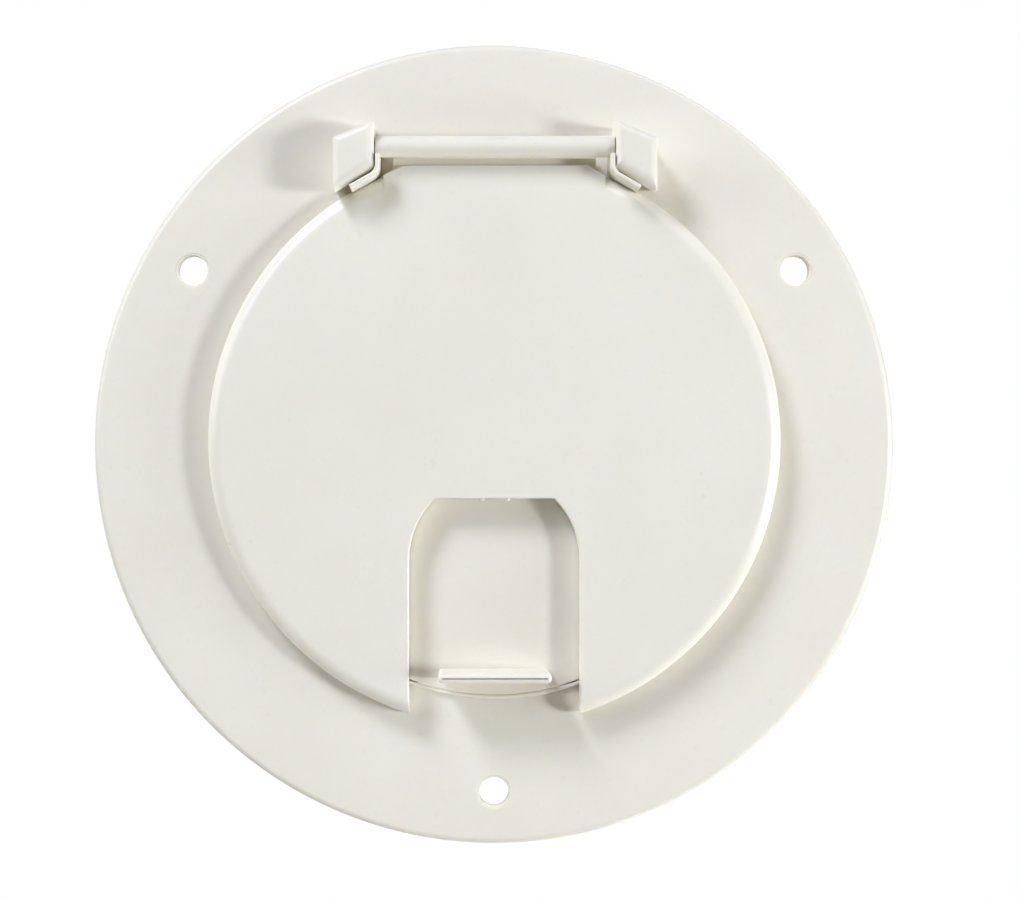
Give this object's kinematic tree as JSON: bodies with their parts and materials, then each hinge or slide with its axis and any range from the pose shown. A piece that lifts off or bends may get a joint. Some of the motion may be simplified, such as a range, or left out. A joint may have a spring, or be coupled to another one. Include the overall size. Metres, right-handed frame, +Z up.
{
  "type": "round power cord hatch",
  "caption": "Round wall hatch for a vehicle's power cord: screwed flange with a collar, a top-hinged lid and a sliding door over the lid's cord notch.",
  "frame": {"origin": "centre of the flange's rear face, on the outside of the wall, at the middle of the wall cut-out", "axes": "+Z up the wall towards the hinge, -Y out of the wall towards the user, +Y into the wall along the collar, +X to the user's right"},
  "size_m": [0.1334, 0.0305, 0.1334],
  "materials": {
    "moulded_plastic": "warm off-white injection-moulded plastic, semi-gloss",
    "zinc_steel": "zinc-plated screw"
  },
  "bodies": {
    "base": {"mounting_flange": "moulded_plastic"},
    "lid": {"lid": "moulded_plastic", "door_retainer": "moulded_plastic", "retainer_screw_1": "zinc_steel", "retainer_screw_2": "zinc_steel", "retainer_screw_3": "zinc_steel", "retainer_screw_4": "zinc_steel"},
    "door": {"cord_door": "moulded_plastic"}
  },
  "joints": [
    {"name": "lid_hinge", "type": "hinge", "parent": "base", "child": "lid", "pos_m": [0, -0.0075, 0.0487], "axis": [-1, 0, 0], "range_deg": [0, 180]},
    {"name": "door_slide", "type": "slide", "parent": "lid", "child": "door", "axis": [0, 0, 1], "range_m": [0, 0.0272]}
  ]
}
